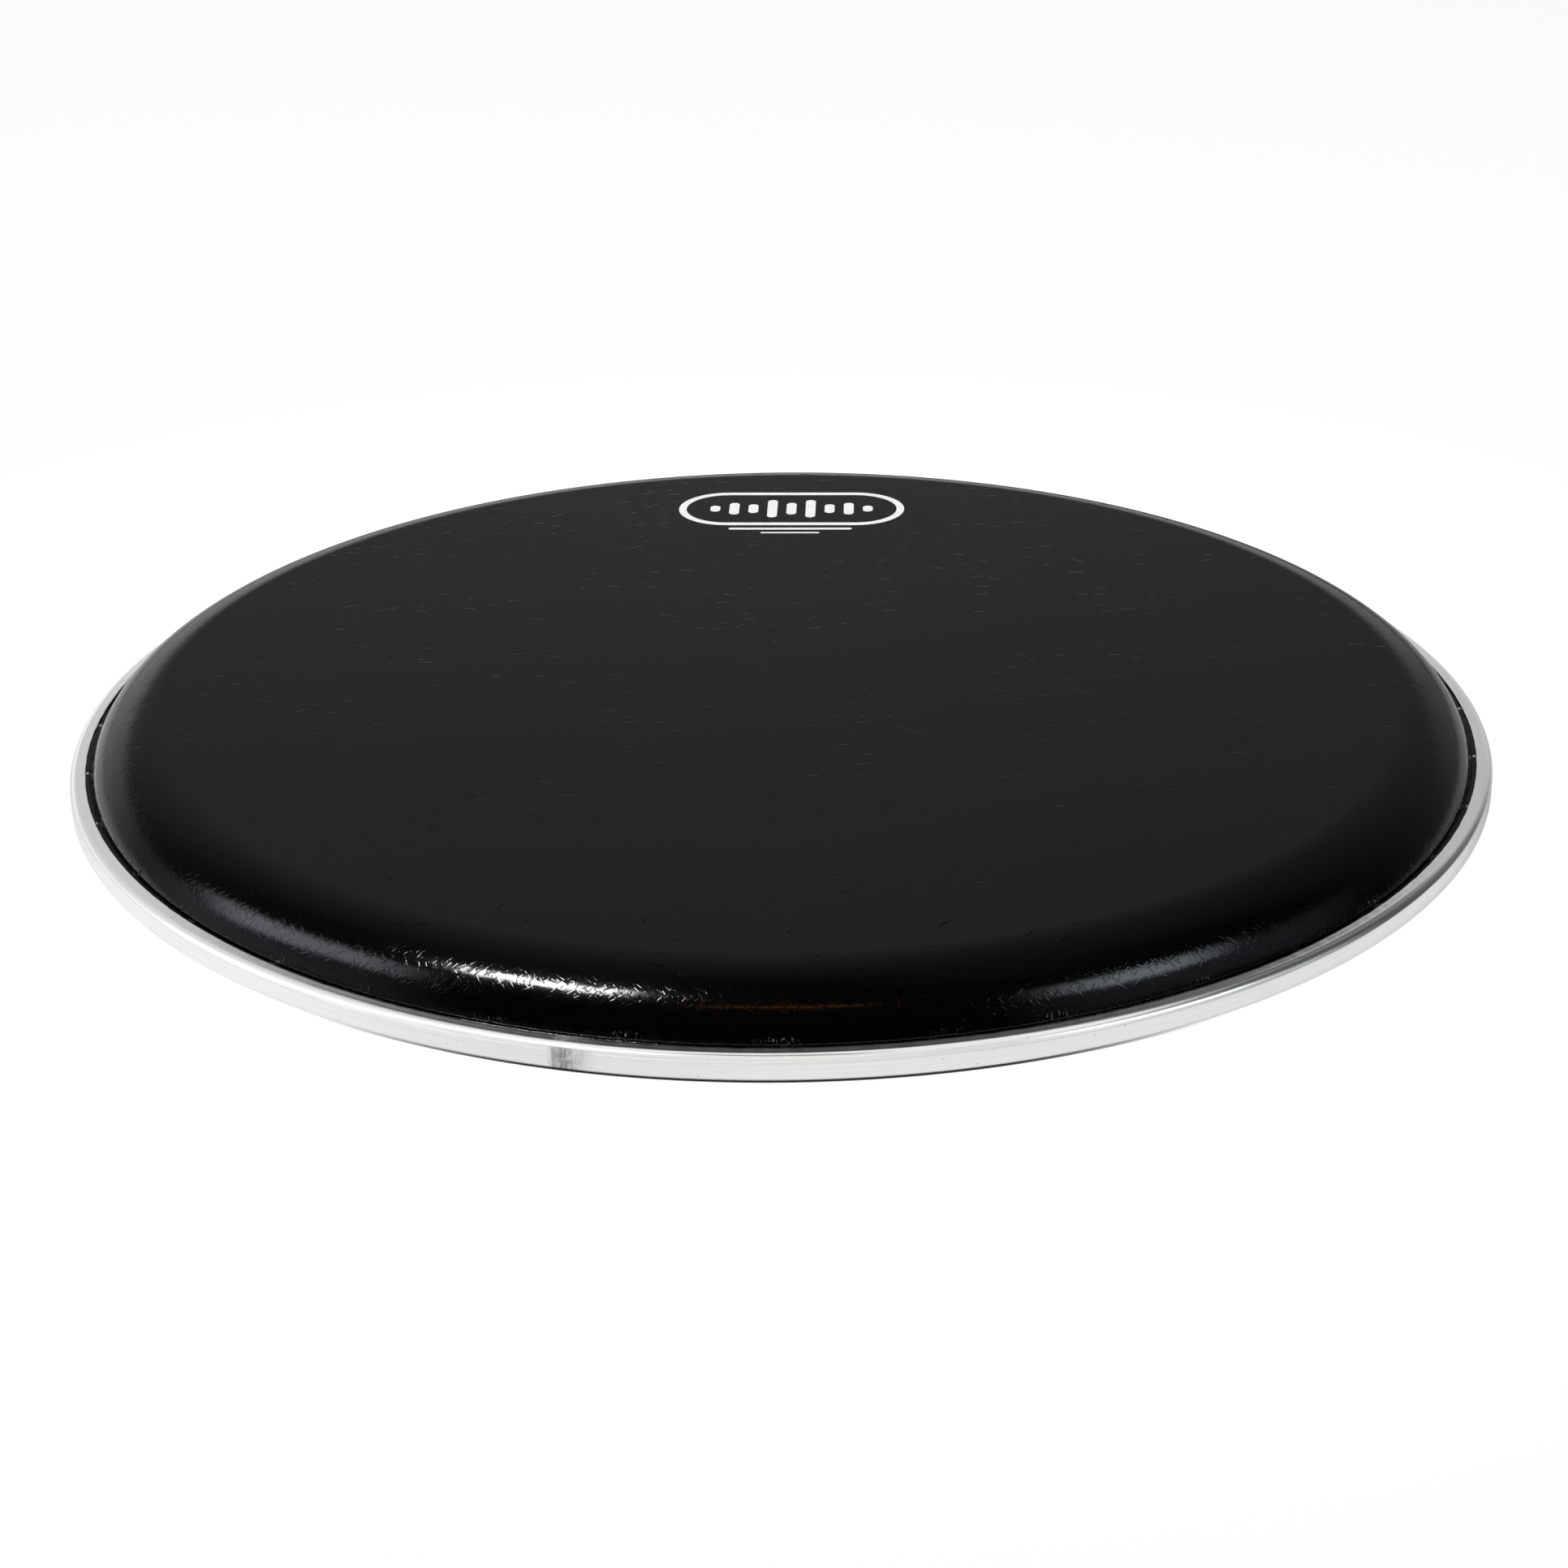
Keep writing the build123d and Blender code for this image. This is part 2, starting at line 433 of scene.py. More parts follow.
def film_material():
    """Black satin polyester: a fine grain, small nicks on the flat, crossed creases round the shoulder,
    and pale flecks at the collar's foot."""
    material, n = new_material("black_film_satin")
    place = n.millimetres()
    x, y, z = n.split(place)
    grain = n.noise(place, 1.6, 3.0, 0.6)
    pebble = n.noise(place, 0.35, 2.0)
    cloud = n.noise(place, 0.02, 2.0)
    clump = n.ramp(n.noise(place, 0.035, 2.0), 0.42, 0.6, 0.25, 1.0)
    small = nicks(n, place, 7.5, 4.5, 0.4, 0.55, 0.0)
    large = nicks(n, place, 32.0, 7.0, 0.35, 0.4, 500.0)
    nick = n.times(n.math("MAXIMUM", small, large), clump)

    # The shoulder laid flat: millimetres round the head, and millimetres down the shoulder's arc
    round_head = n.times(n.math("ARCTAN2", y, x), HOOP_INNER)
    outward = n.math("SUBTRACT", n.from_axis(x, y), SHOULDER_CENTRE)
    upward = n.math("SUBTRACT", z, FILM_TOP - SHOULDER_RADIUS)
    down = n.math("ARCTAN2", outward, upward)
    laid_flat = n.vector(round_head, n.times(down, SHOULDER_RADIUS), 0.0)
    on_shoulder = n.ramp(down, math.radians(14), math.radians(32))
    rising = nicks(n, laid_flat, 1.9, 3.2, 0.26, 0.65, 0.0, 0.75, 0.35)
    falling = nicks(n, laid_flat, 1.9, 3.2, 0.26, 0.65, 700.0, -0.75, 0.35)
    crease = n.times(n.math("MAXIMUM", rising, falling), on_shoulder)
    nick = n.times(nick, n.math("SUBTRACT", 1.0, on_shoulder))

    # Pale flecks where the film is pulled round each notch, thin and upright
    pulled = n.add("ShaderNodeAttribute", {"attribute_name": "scuff"}, None, 2)
    upright = n.vector(n.times(round_head, 1.5), n.times(z, 0.8), 0.0)
    thread = n.noise(upright, 1.0, 3.0, 0.7)
    fleck = n.times(n.ramp(thread, 0.56, 0.66), pulled)

    bumped = n.bump(grain, 0.000006)
    bumped = n.bump(pebble, 0.00002, bumped)
    bumped = n.bump(nick, 0.00003, bumped)
    bumped = n.bump(crease, 0.000015, bumped)
    bumped = n.bump(fleck, 0.00005, bumped)
    colour = n.mix_colour(fleck, grey(0.0012), (0.5, 0.5, 0.48, 1.0))
    roughness = n.math("MULTIPLY_ADD", cloud, 0.04, 0.09)
    roughness = n.math("MULTIPLY_ADD", n.math("SUBTRACT", grain, 0.5), 0.06, roughness)
    roughness = n.math("MULTIPLY_ADD", fleck, 0.4, roughness)
    gloss = n.math("MULTIPLY_ADD", nick, -0.5, 0.5)
    n.surface(**{"Base Color": colour, "Roughness": roughness, "IOR": 1.5,
                 "Specular IOR Level": gloss, "Normal": bumped})
    return material


def inlay_material():
    """Smoother film, with faint flow lines from its own rolling."""
    material, n = new_material("inlay_film_smooth")
    place = n.millimetres()
    x, y, z = n.split(place)
    flow = n.noise(n.vector(n.times(x, 0.1), y, z), 0.4, 3.0)
    bumped = n.bump(flow, 0.00001)
    colour = n.mix_colour(flow, grey(0.008), grey(0.014))
    roughness = n.math("MULTIPLY_ADD", flow, 0.1, 0.2)
    n.surface(**{"Base Color": colour, "Roughness": roughness, "IOR": 1.55, "Normal": bumped})
    return material


def bond_material():
    """Cured adhesive, slightly amber and uneven."""
    material, n = new_material("bond_line_amber")
    place = n.millimetres()
    patch = n.noise(place, 0.3, 3.0)
    colour = n.mix_colour(patch, (0.3, 0.26, 0.2, 1.0), (0.42, 0.38, 0.3, 1.0))
    n.surface(**{"Base Color": colour, "Roughness": n.ramp(patch, 0.2, 0.8, 0.35, 0.6),
                 "Normal": n.bump(patch, 0.00003)})
    return material


def hoop_material():
    """Bright aluminium strip, drawn along the hoop, and ground dull on one side of the weld."""
    material, n = new_material("hoop_aluminium_drawn")
    place = n.millimetres()
    x, y, z = n.split(place)
    lane = n.math("MULTIPLY_ADD", n.from_axis(x, y), 1.7, z)
    thin = n.vector(n.times(x, 0.03), n.times(y, 0.03), n.times(lane, 5.0))
    wide = n.vector(n.times(x, 0.012), n.times(y, 0.012), n.times(lane, 0.8))
    fine = n.noise(thin, 1.0, 4.0, 0.65)
    broad = n.noise(wide, 1.0, 2.0)
    smudge = n.noise(place, 0.06, 3.0)
    speck = n.ramp(n.noise(place, 0.9, 1.0), 0.74, 0.8)

    # Millimetres along the hoop from the weld, on the weld's side of the drum only
    cos, sin = math.cos(WELD_ANGLE), math.sin(WELD_ANGLE)
    toward = n.math("ADD", n.times(x, cos), n.times(y, sin))
    along = n.math("ADD", n.times(x, -sin), n.times(y, cos))
    near = n.math("GREATER_THAN", toward, 0.0)
    mottle = n.noise(place, 0.5, 3.0, 0.65)
    ground = n.times(n.ramp(along, 12.0, 1.0), n.ramp(along, -2.2, 0.6))
    ground = n.times(ground, near)
    across_strip = n.vector(n.times(along, 2.2), n.times(z, 0.15), 3.0)
    grind_lines = n.noise(across_strip, 1.0, 3.0, 0.7)
    ground = n.times(ground, n.ramp(grind_lines, 0.25, 0.6, 0.35, 1.0))
    ground = n.times(ground, n.ramp(mottle, 0.3, 0.6, 0.45, 1.0))
    wall = n.ramp(z, HOOP_HEIGHT - 0.3, HOOP_HEIGHT - 1.6)
    dull = n.times(ground, wall)

    bright = n.mix_colour(smudge, (0.9, 0.905, 0.91, 1.0), (0.95, 0.945, 0.93, 1.0))
    bright = n.mix_colour(n.times(speck, 0.6), bright, grey(0.45))
    streaked = n.mix_colour(n.ramp(fine, 0.45, 0.75), bright, (0.8, 0.8, 0.81, 1.0))
    colour = n.mix_colour(n.times(dull, 0.95), streaked, (0.2, 0.2, 0.21, 1.0))
    roughness = n.math("MULTIPLY_ADD", broad, 0.06, 0.06)
    roughness = n.math("MULTIPLY_ADD", fine, 0.06, roughness)
    roughness = n.math("MULTIPLY_ADD", ground, 0.2, roughness)
    bumped = n.bump(fine, 0.000012)
    bumped = n.bump(n.times(grind_lines, ground), 0.00003, bumped)
    tangent = n.add("ShaderNodeTangent", {"direction_type": "RADIAL", "axis": "Z"})
    n.surface(**{"Base Color": colour, "Metallic": 1.0, "Roughness": roughness, "Anisotropic": 0.2,
                 "Tangent": tangent, "Normal": bumped})
    return material


def weld_material():
    """The weld bead, ground across the joint."""
    material, n = new_material("weld_aluminium_ground")
    place = n.millimetres()
    x, y, z = n.split(place)
    lines = n.noise(n.vector(n.times(x, 3.0), y, n.times(z, 0.3)), 1.2, 3.0, 0.7)
    on_wall = n.ramp(z, HOOP_HEIGHT - 0.3, HOOP_HEIGHT - 1.6)
    shade = n.mix_colour(lines, grey(0.3), grey(0.6))
    colour = n.mix_colour(on_wall, grey(0.85), shade)
    n.surface(**{"Base Color": colour, "Metallic": 1.0, "Roughness": n.ramp(lines, 0.2, 0.8, 0.2, 0.35),
                 "Normal": n.bump(lines, 0.00004)})
    return material


def insert_material():
    """Mill-finish aluminium strip."""
    material, n = new_material("insert_aluminium_mill")
    place = n.millimetres()
    x, y, z = n.split(place)
    streak = n.noise(n.vector(n.times(x, 0.05), n.times(y, 0.05), n.times(z, 4.0)), 1.0, 3.0)
    colour = n.mix_colour(streak, grey(0.6), grey(0.75))
    n.surface(**{"Base Color": colour, "Metallic": 1.0, "Roughness": n.ramp(streak, 0.2, 0.8, 0.35, 0.5),
                 "Normal": n.bump(streak, 0.00002)})
    return material


def ink_material():
    """White screen-printed ink, a little thin in places."""
    material, n = new_material("white_ink_printed")
    place = n.millimetres()
    patch = n.noise(place, 0.5, 3.0)
    weave = n.noise(place, 4.0, 1.0)
    colour = n.mix_colour(n.ramp(patch, 0.3, 0.7), grey(0.8), grey(0.9))
    n.surface(**{"Base Color": colour, "Roughness": n.ramp(weave, 0.3, 0.7, 0.4, 0.55),
                 "Normal": n.bump(weave, 0.00001)})
    return material


def floor_material():
    """A white table that the camera sees as plain white, but that the film mirrors dimly, brighter on the
    left: a painted glow over a painted pool of light. Its edge against the hoop carries a painted contact
    shadow, dark in front only."""
    material, n = new_material("floor_white")
    place = n.millimetres()
    x, y, _ = n.split(place)
    radial = n.from_axis(x, y)
    paper = n.noise(place, 0.02, 2.0)
    # Painted pool of light: the table's colour darkens from the head outwards
    near = n.mix_colour(paper, grey(0.24), grey(0.26))
    colour = n.mix_colour(n.ramp(radial, 250.0, 400.0), near, grey(0.08))
    diffuse = n.add("ShaderNodeBsdfDiffuse", None, {"Color": colour})
    # Painted glow for the film to mirror, brighter on the left
    patch = n.ramp(x, 0.0, -250.0, 0.04, 0.23)
    # Painted contact shadow: the glow is taken away where the hoop meets the table, in front only
    painted_contact_shadow = n.ramp(radial, HOOP_OUTER - 0.6, HOOP_OUTER + 0.1)
    backward = n.math("DIVIDE", y, radial)
    aside = n.ramp(backward, -math.cos(math.radians(CONTACT_SHADOW_FULL)), -math.cos(math.radians(CONTACT_SHADOW_GONE)))
    painted_contact_shadow = n.math("MAXIMUM", painted_contact_shadow, aside)
    by_camera = n.add("ShaderNodeLightPath")
    level = n.mix_colour(by_camera, patch, grey(0.9))
    # Under the head the table glows, and from below it's clear, so that the underside can be seen
    under = n.ramp(radial, HOOP_OUTER - 2.0, HOOP_OUTER - 3.0)
    level = n.mix_colour(under, level, grey(0.7))
    glow = n.add("ShaderNodeEmission", None, {"Color": level, "Strength": n.math("MAXIMUM", painted_contact_shadow, under)})
    both = n.add("ShaderNodeAddShader", None, {0: diffuse, 1: glow})
    from_below = n.add("ShaderNodeNewGeometry", None, None, 6)
    clear = n.add("ShaderNodeBsdfTransparent")
    shown = n.add("ShaderNodeMixShader", None, {0: from_below, 1: both, 2: clear})
    n.add("ShaderNodeOutputMaterial", None, {"Surface": shown})
    return material


# ---------------- pieces
def film_path():
    """The film's middle line, from the edge of the flat area to the end of the folded flange."""
    half = FILM / 2
    root = COLLAR_ROOT - half
    top = FILM_TOP - half
    outside = COLLAR_ROOT + SLIP + INSERT_WIDTH + SLIP + half
    under = INSERT_LOW - SLIP - half
    over = INSERT_HIGH + SLIP + half
    shoulder = root - (top - COLLAR_ROOT_HEIGHT) * math.tan(COLLAR_LEAN)
    corners = [(FLAT_EDGE, top), (shoulder, top), (root, COLLAR_ROOT_HEIGHT), (root, under),
               (outside, under), (outside, over), (outside + half - FLANGE_WIDTH, over)]
    wrap = INSERT_CORNER + half
    bends = [SHOULDER_RADIUS - half, COLLAR_ROOT_BEND - half, wrap, wrap, wrap]
    fine, coarse, tight = 0.4, 0.8, 0.2
    step = [fine, fine, fine, fine, coarse, tight, coarse, tight, coarse, tight, coarse]
    return bent_path(corners, bends, step)


def stroke_field(shift, points, rng):
    """Presses short diagonal creases, in two crossing directions, into the shoulder."""
    arc = np.concatenate([[0], np.cumsum(np.linalg.norm(np.diff(points, axis=0), axis=1))])
    spacing = SHOULDER_GIRTH / COLUMNS
    for _ in range(CREASES):
        u0 = rng.uniform(0, COLUMNS)
        v0 = rng.uniform(CREASE_FROM, CREASE_TO)
        lean = math.radians(rng.uniform(28, 62)) * (1 if rng.random() < 0.5 else -1)
        reach = rng.uniform(2.0, 5.0)
        width = rng.uniform(0.5, 0.9)
        depth = rng.uniform(0.006, 0.018)
        strength = math.sin(math.pi * (v0 - CREASE_FROM) / (CREASE_TO - CREASE_FROM))
        span = int(reach / spacing) + 3
        columns = np.arange(int(u0) - span, int(u0) + span + 1)
        near = np.nonzero(np.abs(arc - v0) < reach + 1)[0]
        du = (columns - u0) * spacing
        dv = arc[near] - v0
        along = du[None, :] * math.cos(lean) + dv[:, None] * math.sin(lean)
        across = -du[None, :] * math.sin(lean) + dv[:, None] * math.cos(lean)
        stroke = np.exp(-(across / width) ** 2) * np.clip(1 - (along / reach) ** 2, 0, 1)
        shift[np.ix_(near, columns % COLUMNS)] -= stroke * depth * strength


def pucker_field(shift, scuff, points, rng):
    """Raises a cluster of small pleats in the collar's foot at each notch, and fills in scuff, which says
    how white the pull has turned the film."""
    height = points[:, 1]
    on_foot = (height > PLEAT_FROM) & (height < PLEAT_TO) & (points[:, 0] < COLLAR_ROOT + 0.2)
    arc_rows = np.nonzero(on_foot)[0]
    spacing = FOOT_GIRTH / COLUMNS
    for k in range(NOTCHES):
        degrees = FIRST_PLEAT + 360 / NOTCHES * k + rng.uniform(-1.2, 1.2)
        centre = (math.radians(degrees) % TAU) / TAU * COLUMNS
        from_centre = ((np.arange(COLUMNS) - centre + COLUMNS / 2) % COLUMNS - COLUMNS / 2) * spacing
        for _ in range(rng.integers(3, 7)):
            u0 = centre + rng.normal(0, 2.4) / spacing
            width = rng.uniform(0.4, 0.8)
            tall = rng.uniform(0.5, 1.3)
            columns = np.arange(int(u0) - 6, int(u0) + 7)
            du = (columns - u0) * spacing
            rise = np.exp(-((height[arc_rows] - HOOP_HEIGHT) / tall) ** 2)
            where = np.ix_(arc_rows, columns % COLUMNS)
            shift[where] += rise[:, None] * np.exp(-(du[None, :] / width) ** 2) * PLEAT_RISE
        pale = rng.uniform(0.1, 1.0) ** 1.5
        band = np.exp(-((height[arc_rows] - HOOP_HEIGHT - 0.35) / 0.6) ** 2)
        reach = rng.uniform(2.0, 4.0)
        spot = band[:, None] * np.exp(-(from_centre / reach) ** 2)[None, :] * pale
        scuff[arc_rows] = np.maximum(scuff[arc_rows], spot)
        pull = np.exp(-(from_centre / 5.0) ** 2 / 2)
        fade = np.clip((PLEAT_TO - height[arc_rows]) / 4, 0, 1)
        shift[arc_rows] -= fade[:, None] * pull[None, :] * PLEAT_RISE


def playing_film(material):
    """The film in one sheet, from its flat middle to the notched flange folded over the insert ring."""
    rng = np.random.default_rng(16)
    points, normals = film_path()
    rows = len(points)
    shift = np.zeros((rows, COLUMNS))
    scuff = np.zeros((rows, COLUMNS))
    stroke_field(shift, points, rng)
    pucker_field(shift, scuff, points, rng)
    shift[:3] = 0

    angles = TAU * (np.arange(COLUMNS) + 0.5) / COLUMNS
    present = np.ones((rows - 1, COLUMNS), bool)
    notch_half = NOTCH_WIDTH / HOOP_OUTER / 2
    pitch = TAU / NOTCHES
    from_notch = (angles - FIRST_NOTCH + pitch / 2) % pitch - pitch / 2
    in_notch = np.abs(from_notch) < notch_half
    beyond_root = (points[:-1, 0] > COLLAR_ROOT + SLIP) & (points[:-1, 1] > INSERT_LOW)
    present[np.ix_(beyond_root, in_notch)] = False

    vertices, faces = sheet(points, normals, FILM, COLUMNS, shift, present, True)
    base = len(vertices)
    parts = [vertices]
    for height, first, flip in ((FILM_TOP, 0, False), (FILM_TOP - FILM, rows * COLUMNS, True)):
        more, fill = disc_rings(FLAT_EDGE, COLUMNS, height, first, flip)
        fill = [[base + v[1] if isinstance(v, tuple) else v for v in face] for face in fill]
        parts.append(more)
        faces += fill
        base += len(more)
    vertices = np.concatenate(parts)
    scuffs = np.concatenate([scuff.ravel(), np.zeros(len(vertices) - rows * COLUMNS)])
    vertices, faces, used = without_loose(vertices, faces)
    piece = new_piece("film_skin", vertices, faces, material)
    attribute = piece.data.attributes.new("scuff", "FLOAT", "POINT")
    attribute.data.foreach_set("value", scuffs[used].astype(np.float32))
    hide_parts("playing_film")


def collar_layer(drop, inner, foot, step):
    """Points and normals of a layer that lies a drop inside the film's outer face."""
    root = COLLAR_ROOT - drop
    top = FILM_TOP - drop
    shoulder = root - (top - COLLAR_ROOT_HEIGHT) * math.tan(COLLAR_LEAN)
    corners = [(inner, top), (shoulder, top), (root, COLLAR_ROOT_HEIGHT), (root, foot)]
    bends = [SHOULDER_RADIUS - drop, COLLAR_ROOT_BEND - drop]
    return bent_path(corners, bends, [step] * 5)


def inlay_ring(material):
    """The inlay film under the shoulder and down the collar."""
    drop = FILM + BOND + INLAY / 2
    points, normals = collar_layer(drop, INLAY_INNER, INSERT_LOW, 1.0)
    columns = 720
    shift = np.zeros((len(points), columns))
    present = np.ones((len(points) - 1, columns), bool)
    vertices, faces = sheet(points, normals, INLAY, columns, shift, present, False)
    piece = new_piece("inlay_film_ring", vertices, faces, material)
    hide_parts("inlay_ring")


def bond_line(material):
    """The adhesive ring, its edges squeezed out a little unevenly."""
    rng = np.random.default_rng(5)
    columns = 720
    ripple = sum(rng.normal(0, 0.12) * np.cos(k * TAU * np.arange(columns) / columns + rng.uniform(0, TAU))
                 for k in range(3, 40))
    middle = FILM_TOP - FILM - BOND / 2
    width = BOND_WIDTH - 2
    points = np.array([(INLAY_INNER + 1 + width * t, middle) for t in np.linspace(0, 1, 5)])
    normals = np.tile(np.array([0.0, 1.0]), (len(points), 1))
    present = np.ones((len(points) - 1, columns), bool)
    vertices, faces = sheet(points, normals, BOND, columns, np.zeros((len(points), columns)), present, False)
    edge = np.tile(np.concatenate([ripple * share for share in (-1, -0.5, 0, 0.5, 1)]), 2) * MM
    length = np.linalg.norm(vertices[:, :2], axis=1)
    vertices[:, :2] *= (1 + edge / length)[:, None]
    piece = new_piece("inlay_bond_line", vertices, faces, material)
    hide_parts("inlay_adhesive")


def channel_outline():
    """The hoop's section: the strip from the lip's free edge, down the outside and up the inside."""
    half = STRIP / 2
    inner, outer = HOOP_INNER + half, HOOP_OUTER - half
    top = HOOP_HEIGHT - half
    corners = [(HOOP_OUTER - LIP_WIDTH + half, top), (outer, top), (outer, half), (inner, half),
               (inner, INNER_WALL_HEIGHT - half)]
    bends = [LIP_BEND - half, BASE_BEND - half, BASE_BEND - half]
    points, normals = bent_path(corners, bends, [0.5, 0.15, 1.0, 0.1, 1.0, 0.1, 1.0])
    return counter_clockwise(strip_outline(points, normals, STRIP, 7))


def lip_fall(radius, height):
    """How far the lip's upper face drops: nothing at its free edge, and most at its bend."""
    beyond = np.maximum(radius - (HOOP_OUTER - LIP_BEND), 0)
    above = height - (HOOP_HEIGHT - LIP_BEND)
    upper_face = (above > 0) & (np.hypot(beyond, above) > LIP_BEND - STRIP / 2)
    level_to = HOOP_OUTER - LIP_WIDTH + 0.4
    outward = np.clip((radius - level_to) / (HOOP_OUTER - LIP_BEND - level_to), 0, 1)
    return LIP_FALL * outward * upper_face * np.clip(above / LIP_BEND, 0, 1)


def hoop(material):
    """The channel ring, open at the weld. Its lip carries the slight waver that crimping leaves."""
    rng = np.random.default_rng(9)
    waves = [(int(k), rng.normal(0, 0.012), rng.uniform(0, TAU)) for k in rng.integers(20, 160, 24)]

    def waver(radius, height, angles):
        wave = sum(a * np.cos(k * angles + p) for k, a, p in waves)
        on_lip = np.clip((height - (HOOP_HEIGHT - STRIP - 0.1)) / 0.1, 0, 1)
        toward_edge = np.clip((HOOP_OUTER - 2.0 - radius) / 3.0, 0, 1)
        sideways = wave[None, :] * on_lip * toward_edge
        return sideways, -0.5 * np.abs(sideways) - lip_fall(radius, height)

    half_gap = WELD_WIDTH / HOOP_OUTER / 2
    vertices, faces = revolved(channel_outline(), 1800, WELD_ANGLE + half_gap, TAU - 2 * half_gap, waver)
    piece = new_piece("hoop_channel_ring", vertices, faces, material)
    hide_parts("hoop_channel")


def weld(material):
    """The weld bead between the hoop's ends, with the faint facets of its grinding."""
    rng = np.random.default_rng(3)
    columns = 12
    facet = rng.uniform(-0.035, 0.0, columns + 1)

    def ground(radius, height, angles):
        return facet[None, :] * np.clip(radius - HOOP_OUTER + 1, 0, 1), -lip_fall(radius, height)

    half_gap = WELD_WIDTH / HOOP_OUTER / 2
    vertices, faces = revolved(channel_outline(), columns, WELD_ANGLE - half_gap, 2 * half_gap, ground)
    piece = new_piece("hoop_weld_bead", vertices, faces, material)
    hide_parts("hoop_weld")


def insert_ring(material):
    """The flat ring inside the film's fold, open where its ends butt."""
    centre = (COLLAR_ROOT + SLIP + INSERT_WIDTH / 2, (INSERT_LOW + INSERT_HIGH) / 2)
    outline = rounded_box(centre, INSERT_WIDTH, INSERT_HIGH - INSERT_LOW, INSERT_CORNER)
    gap = INSERT_GAP / COLLAR_ROOT
    vertices, faces = revolved(outline, 720, WELD_ANGLE + math.pi + gap / 2, TAU - gap)
    piece = new_piece("insert_ring_strip", vertices, faces, material)
    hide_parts("insert_ring")


def slot_outline(length, width, points=24):
    """A stadium outline, counter-clockwise, centred on the origin with its length along x."""
    radius = width / 2
    straight = length / 2 - radius
    outline = []
    for k in range(points + 1):
        a = -math.pi / 2 + math.pi * k / points
        outline.append((straight + radius * math.cos(a), radius * math.sin(a)))
    for k in range(points + 1):
        a = math.pi / 2 + math.pi * k / points
        outline.append((-straight + radius * math.cos(a), radius * math.sin(a)))
    return outline


def printed_mark(material):
    """The mark's raised ink: a lozenge outline round a row of bars, over plain rules."""
    length = (MARK_HIGH.x - MARK_LOW.x) / MM
    height = LOZENGE_HEIGHT
    middle_y = MARK_HIGH.y / MM - height / 2
    low, high = MARK_LOW.z / MM, MARK_HIGH.z / MM
    vertices, faces = [], []

    def loop(outline, z):
        first = len(vertices)
        vertices.extend((x * MM, (y + middle_y) * MM, z * MM) for x, y in outline)
        return list(range(first, first + len(outline)))

    def band(lower, upper):
        for k in range(len(lower)):
            following = (k + 1) % len(lower)
            faces.append([lower[k], lower[following], upper[following], upper[k]])

    def solid(outline):
        bottom, top = loop(outline, low), loop(outline, high)
        band(bottom, top)
        faces.append(top)
        faces.append(bottom[::-1])

    outer = slot_outline(length, height)
    inner = slot_outline(length - 2 * MARK_STROKE, height - 2 * MARK_STROKE)
    outer_low, outer_high = loop(outer, low), loop(outer, high)
    inner_low, inner_high = loop(inner, low), loop(inner, high)
    band(outer_low, outer_high)
    band(inner_high, inner_low)
    band(outer_high, inner_high)
    band(inner_low, outer_low)
    for i, bar in enumerate(BAR_HEIGHTS):
        offset = (i - (len(BAR_HEIGHTS) - 1) / 2) * BAR_PITCH
        upright = [(-y + offset, x) for x, y in slot_outline(bar, BAR_WIDTH, 12)]
        solid(upright)
    for rule_length, rule_width, drop in RULES:
        solid([(x, y - drop) for x, y in slot_outline(rule_length, rule_width, 12)])
    piece = new_piece("printed_mark_ink", vertices, faces, material)
    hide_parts("printed_mark")


playing_film(film_material())
inlay_ring(inlay_material())
bond_line(bond_material())
hoop(hoop_material())
weld(weld_material())
insert_ring(insert_material())
printed_mark(ink_material())


# ---------------- stage, in metres
FLOOR_RADIUS = 4.0
FLOOR_HEIGHT = -0.0002
DOME_RADIUS = 3.5
DOME_FOOT = -0.0001
TABLE_GLOW = 0.5
TABLE_WHOLE = 0.24
TABLE_GONE = 0.42
TABLE_EDGE = 0.45


def turned(point):
    """A place given in the view's own axes, in the row's axes."""
    return Matrix.Rotation(VIEW_TURN, 3, "Z") @ Vector(point)


def floor():
    """A wide round white floor, a hair under the hoop."""
    count = 96
    angles = [TAU * k / count for k in range(count)]
    vertices = [(FLOOR_RADIUS * math.cos(a), FLOOR_RADIUS * math.sin(a), FLOOR_HEIGHT) for a in angles]
    mesh = bpy.data.meshes.new("floor")
    mesh.from_pydata(vertices, [], [list(range(count))])
    mesh.materials.append(floor_material())
    plane = bpy.data.objects.new("floor", mesh)
    bpy.context.scene.collection.objects.link(plane)


def softbox(name, place, size, radiance, along=(1, 0, 0), aim=(0, -0.1, 0.0), glossy=True):
    """A rectangular light that faces aim, its long side towards along. radiance is how bright it looks."""
    light = bpy.data.lights.new(name, "AREA")
    light.shape = "RECTANGLE"
    light.size, light.size_y = size
    light.energy = radiance * math.pi * size[0] * size[1]
    lamp = bpy.data.objects.new(name, light)
    bpy.context.scene.collection.objects.link(lamp)
    position = turned(place)
    back = (position - turned(aim)).normalized()
    long_side = turned(along)
    long_side = (long_side - back * long_side.dot(back)).normalized()
    short_side = back.cross(long_side)
    facing = Matrix((long_side, short_side, back)).transposed()
    lamp.matrix_world = Matrix.Translation(position) @ facing.to_4x4()
    lamp.visible_glossy = glossy
    lamp.visible_camera = False


def ramp_of(n, value, steps):
    """A colour ramp through (position, grey) steps."""
    node = n.tree.nodes.new("ShaderNodeValToRGB")
    n.tree.links.new(value, node.inputs[0])
    elements = node.color_ramp.elements
    elements[0].position, elements[0].color = steps[0][0], grey(steps[0][1])
    elements[1].position, elements[1].color = steps[-1][0], grey(steps[-1][1])
    for position, level in steps[1:-1]:
        elements.new(position).color = grey(level)
    return node.outputs[0]


def view_direction(n, direction):
    """A direction in the view's own axes: +Y away from the camera."""
    inputs = {"Vector": direction, "Angle": -VIEW_TURN}
    return n.add("ShaderNodeVectorRotate", {"rotation_type": "Z_AXIS"}, inputs)


